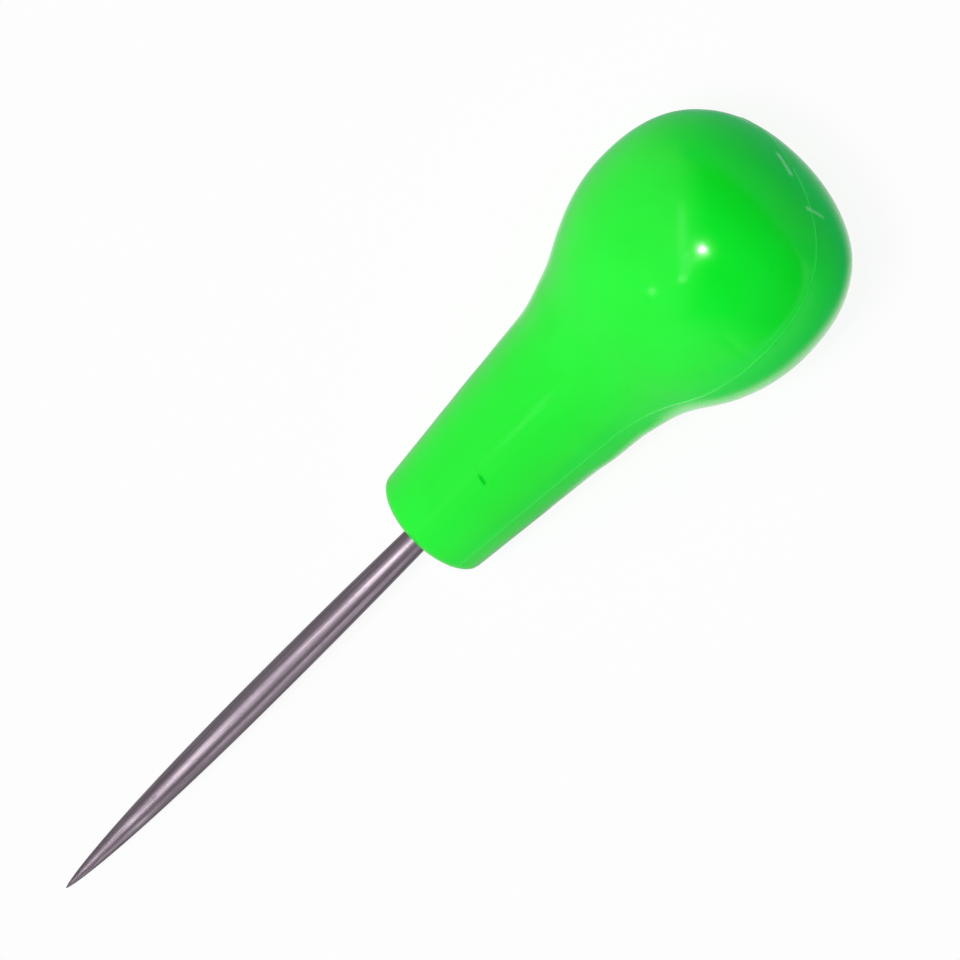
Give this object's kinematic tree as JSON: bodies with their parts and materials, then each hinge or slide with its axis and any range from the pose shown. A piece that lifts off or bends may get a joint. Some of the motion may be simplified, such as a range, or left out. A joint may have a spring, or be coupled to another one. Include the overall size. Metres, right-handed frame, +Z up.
{
  "type": "scratch awl",
  "caption": "Scratch awl with a slim pointed steel blade and a bright green gourd-shaped moulded handle, lying on its side.",
  "frame": {"origin": "centre of the bounding box at the bottom, with the awl lying on a flat surface on its blade and bulb", "axes": "+Z up; +X runs along the awl from the blade's point to the handle's butt, seen from above; +Y to its left"},
  "size_m": [0.1404, 0.036, 0.0361],
  "materials": {
    "blade_steel": "ground and polished along its length, with fine lengthwise grain and a faint mauve tint",
    "handle_plastic": "smooth glossy injection moulding with a fine weld line along the seam"
  },
  "bodies": {
    "root": {"blade": "blade_steel", "upper_handle_shell": "handle_plastic", "lower_handle_shell": "handle_plastic"}
  },
  "joints": []
}
